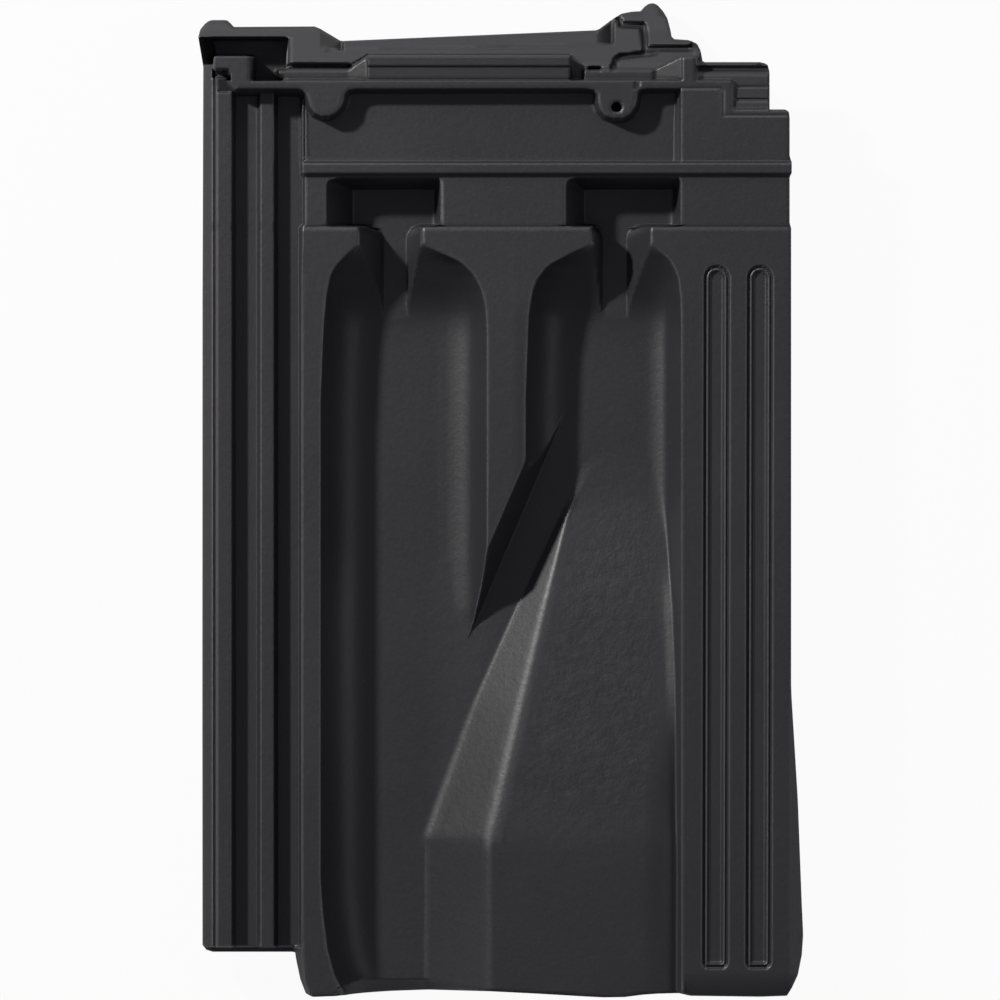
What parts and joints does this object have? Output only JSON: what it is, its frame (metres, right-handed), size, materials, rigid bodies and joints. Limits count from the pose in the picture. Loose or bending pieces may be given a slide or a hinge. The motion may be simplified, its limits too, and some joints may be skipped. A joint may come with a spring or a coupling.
{
  "type": "interlocking clay roof tile",
  "caption": "Dark engobed interlocking clay roof tile with twin troughs, a diagonal water notch, a grooved underlap flange and a fluted cover flange.",
  "frame": {"origin": "centre of the bounding box in plan, at the bottom of the hanging nibs", "axes": "+X from the underlap flange to the cover flange, +Y from the tail to the head, +Z out of the weather face"},
  "size_m": [0.2632, 0.4332, 0.0435],
  "materials": {
    "engobed_clay": "satin"
  },
  "bodies": {
    "root": {"roof_tile": "engobed_clay"}
  },
  "joints": []
}
